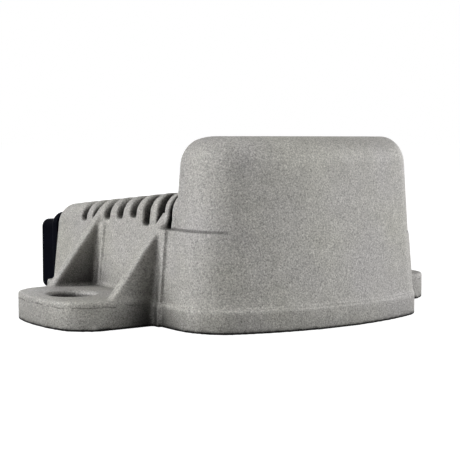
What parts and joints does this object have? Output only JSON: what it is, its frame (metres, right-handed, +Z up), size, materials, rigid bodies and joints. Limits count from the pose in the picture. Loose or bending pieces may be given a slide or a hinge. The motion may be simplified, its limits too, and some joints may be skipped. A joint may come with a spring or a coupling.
{
  "type": "micro inverter",
  "caption": "Die-cast aluminium inverter housing with a tall rounded tower, a finned sloping roof, two bolt ears on ribs and a sealed rear connector.",
  "frame": {"origin": "centre of the bounding box's footprint, on the mounting plane under the ears and the base rim", "axes": "+X from ear to ear, +Y towards the rear connector, +Z up from the mounting plane to the tower's top"},
  "size_m": [0.1046, 0.0944, 0.0405],
  "materials": {
    "cast_aluminium": "as-cast, tumbled, fine speckle",
    "cover_aluminium": "rolled sheet, satin",
    "black_rubber": "matt",
    "grey_silicone": "satin",
    "zinc_steel": "zinc plated",
    "black_plastic": "fine moulded texture",
    "tinned_brass": "tin plated",
    "gold_plate": "gold plated",
    "green_board": "solder mask",
    "ferrite": "sintered, matt",
    "bobbin_plastic": "moulded",
    "enamelled_copper": "enamelled copper wire",
    "bright_tin": "tin plated",
    "black_epoxy": "moulded epoxy",
    "thermal_silicone": "filled silicone, matt",
    "relay_plastic": "moulded",
    "fuse_ceramic": "glazed",
    "surge_coating": "dipped epoxy",
    "chip_ceramic": "sintered",
    "can_sleeve": "shrink sleeve",
    "film_case": "moulded box"
  },
  "bodies": {
    "root": {"base_cover": "cover_aluminium", "board_screw_1": "zinc_steel", "board_screw_2": "zinc_steel", "board_screw_3": "zinc_steel", "board_screw_4": "zinc_steel", "ceramic_capacitor_1": "chip_ceramic", "ceramic_capacitor_2": "chip_ceramic", "connector_seal": "grey_silicone", "connector_shell": "black_plastic", "controller_chip": "black_epoxy", "cover_gasket": "black_rubber", "cover_screw_1": "zinc_steel", "cover_screw_2": "zinc_steel", "cover_screw_3": "zinc_steel", "cover_screw_4": "zinc_steel", "cover_screw_5": "zinc_steel", "cover_screw_6": "zinc_steel", "driver_chip_1": "black_epoxy", "driver_chip_2": "black_epoxy", "film_capacitor_1": "film_case", "film_capacitor_2": "film_case", "fuse_body": "fuse_ceramic", "fuse_cap_1": "bright_tin", "fuse_cap_2": "bright_tin", "grid_relay": "relay_plastic", "housing": "cast_aluminium", "input_choke_core": "ferrite", "input_choke_winding": "enamelled_copper", "main_board": "green_board", "output_choke_core": "ferrite", "output_choke_winding": "enamelled_copper", "power_blade_1": "tinned_brass", "power_blade_2": "tinned_brass", "power_blade_3": "tinned_brass", "power_blade_4": "tinned_brass", "power_transistor_1": "black_epoxy", "power_transistor_2": "black_epoxy", "power_transistor_3": "black_epoxy", "power_transistor_4": "black_epoxy", "power_transistor_5": "black_epoxy", "power_transistor_6": "black_epoxy", "signal_pin_1": "gold_plate", "signal_pin_2": "gold_plate", "signal_pin_3": "gold_plate", "signal_pin_4": "gold_plate", "signal_pin_5": "gold_plate", "signal_pin_6": "gold_plate", "storage_capacitor_1": "can_sleeve", "storage_capacitor_2": "can_sleeve", "surge_disc": "surge_coating", "thermal_pad": "thermal_silicone", "transformer_bobbin": "bobbin_plastic", "transformer_core_lower": "ferrite", "transformer_core_upper": "ferrite", "transformer_winding": "enamelled_copper"}
  },
  "joints": []
}
